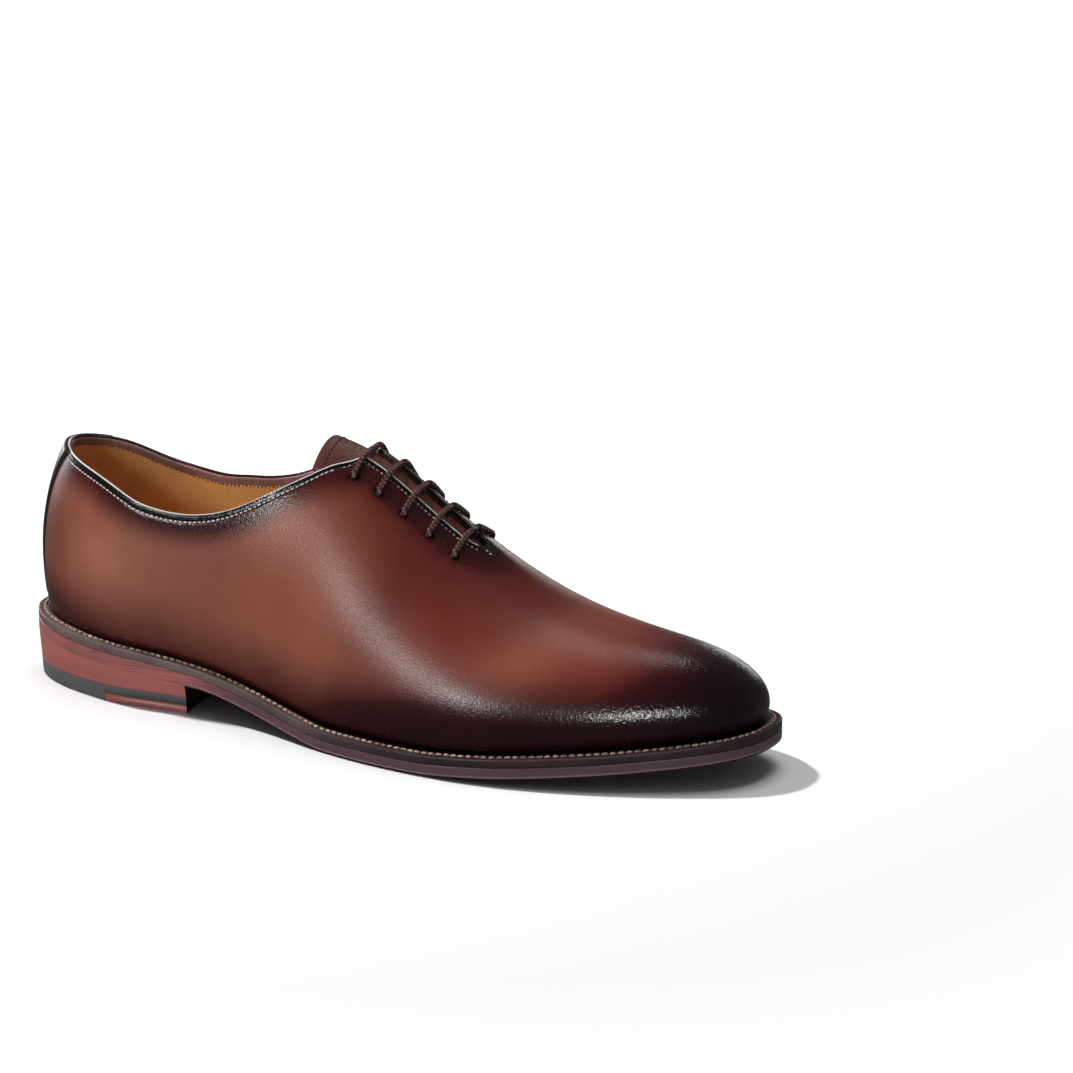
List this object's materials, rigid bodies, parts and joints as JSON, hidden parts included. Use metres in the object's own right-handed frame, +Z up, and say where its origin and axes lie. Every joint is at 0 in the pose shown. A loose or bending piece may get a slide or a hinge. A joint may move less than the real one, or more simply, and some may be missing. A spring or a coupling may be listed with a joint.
{
  "type": "dress shoe",
  "caption": "Right dress shoe with a hollow one-piece leather upper, straight-bar lacing over a tongue, a stitched welt, a leather outsole and a stacked heel with a rubber top piece.",
  "frame": {"origin": "on the floor, below the middle of the shoe's bounding box", "axes": "+X from heel to toe, +Y to the inner side of the foot, +Z up"},
  "size_m": [0.306, 0.102, 0.105],
  "materials": {
    "upper_leather": "polished, darker at the toe, the heel and the edges",
    "strip_leather": "polished",
    "tongue_leather": "satin",
    "insole_leather": "matt",
    "welt_leather": "satin",
    "outsole_leather": "burnished",
    "heel_leather": "burnished",
    "heel_rubber": "matt",
    "lace": "waxed cord"
  },
  "bodies": {
    "root": {"outsole": "outsole_leather", "welt": "welt_leather", "insole": "insole_leather", "heel_stack": "heel_leather", "heel_top_piece": "heel_rubber", "heel_top_insert": "heel_leather", "upper": "upper_leather", "back_strip": "strip_leather", "tongue": "tongue_leather", "lace_bar_1": "lace", "lace_bar_2": "lace", "lace_bar_3": "lace", "lace_bar_4": "lace", "lace_bar_5": "lace"}
  },
  "joints": []
}
